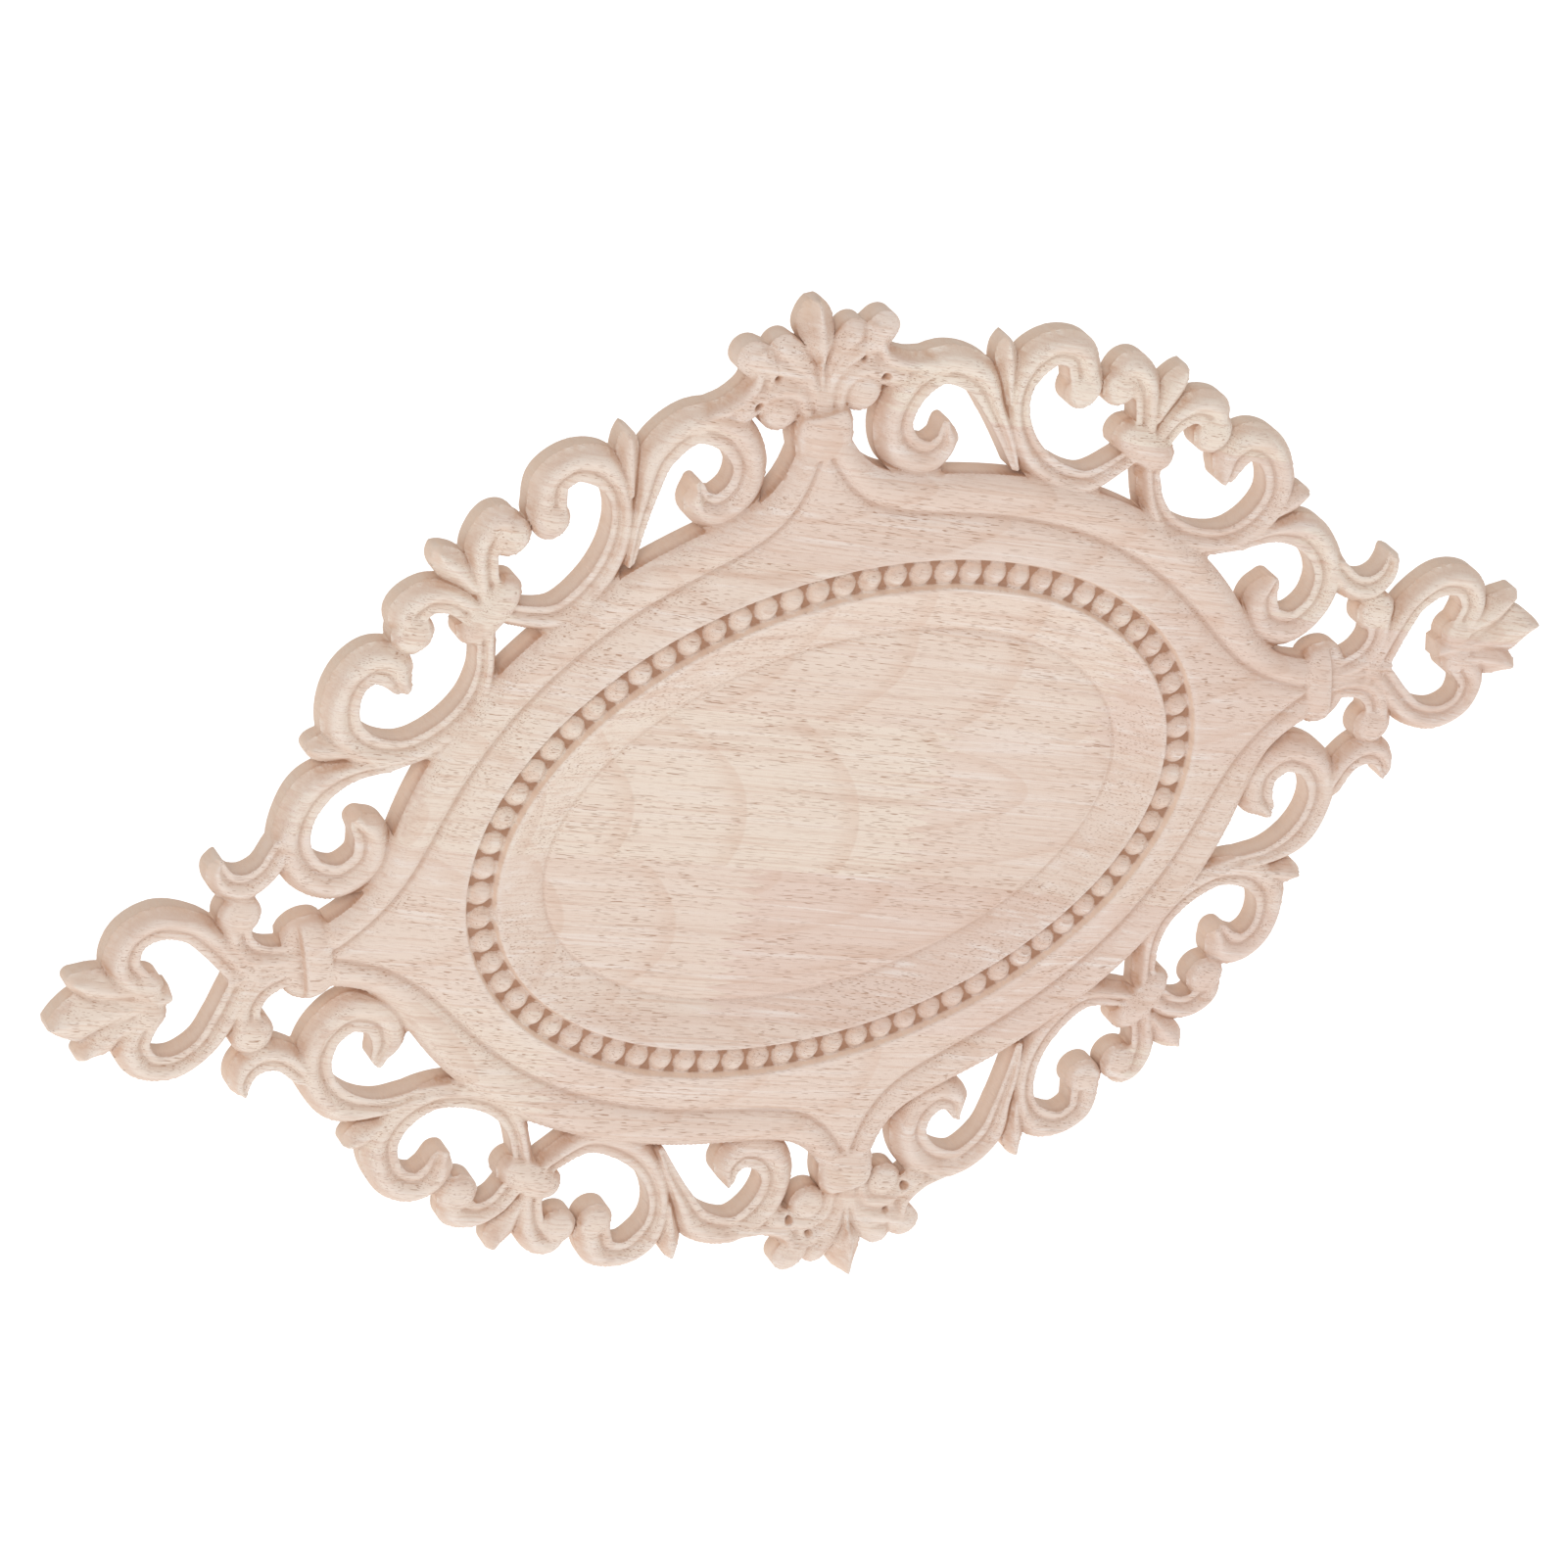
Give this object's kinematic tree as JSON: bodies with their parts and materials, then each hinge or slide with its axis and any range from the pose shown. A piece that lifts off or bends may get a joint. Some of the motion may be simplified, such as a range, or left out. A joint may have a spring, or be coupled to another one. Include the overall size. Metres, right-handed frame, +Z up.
{
  "type": "wood applique",
  "caption": "Flat-backed carved wood applique: a long oval panel with a bead ring inside a border of pierced scrollwork, for fixing to a wall, door or cabinet.",
  "frame": {"origin": "centre of the flat back, in the plane that lies against the wall", "axes": "+X along the long axis, +Z up along the short axis, +Y into the wall; the carving faces -Y"},
  "size_m": [0.4, 0.01, 0.2802],
  "materials": {
    "wood": "bare sanded pale wood, matt"
  },
  "bodies": {
    "root": {"applique": "wood"}
  },
  "joints": []
}
